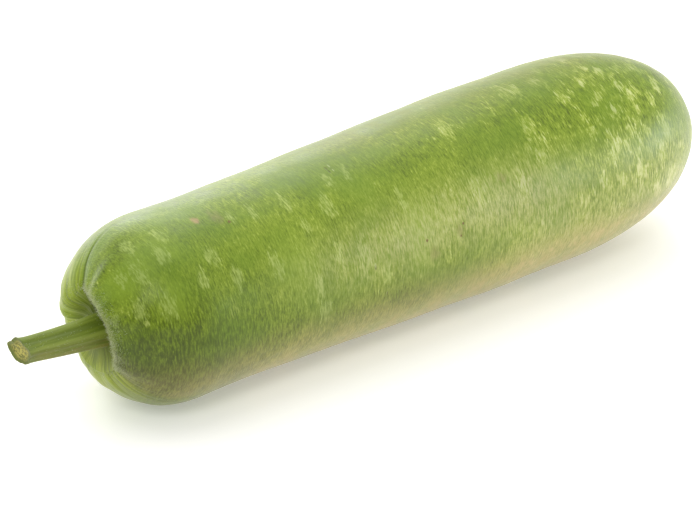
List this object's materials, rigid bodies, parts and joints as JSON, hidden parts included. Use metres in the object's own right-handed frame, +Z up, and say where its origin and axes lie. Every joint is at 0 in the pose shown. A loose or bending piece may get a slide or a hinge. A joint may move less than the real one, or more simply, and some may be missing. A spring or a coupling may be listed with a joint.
{
  "type": "bottle gourd",
  "caption": "Long green bottle gourd lying on its side, with a lobed stem end, a short cut stem with ribs, a rounded blossom end and a mottled waxy skin.",
  "frame": {"origin": "on the resting surface, under the middle of the bounding box", "axes": "+X from the stem end to the blossom end, +Z up"},
  "size_m": [0.3484, 0.0866, 0.0865],
  "materials": {
    "skin": "waxy satin yellow-green rind, mottled darker, with pale blotches and fine pale streaks round it",
    "stalk": "matt olive green stalk with pale ribs and fine hairs, cut across at its end"
  },
  "bodies": {
    "root": {"fruit": "skin", "stem": "stalk"}
  },
  "joints": []
}
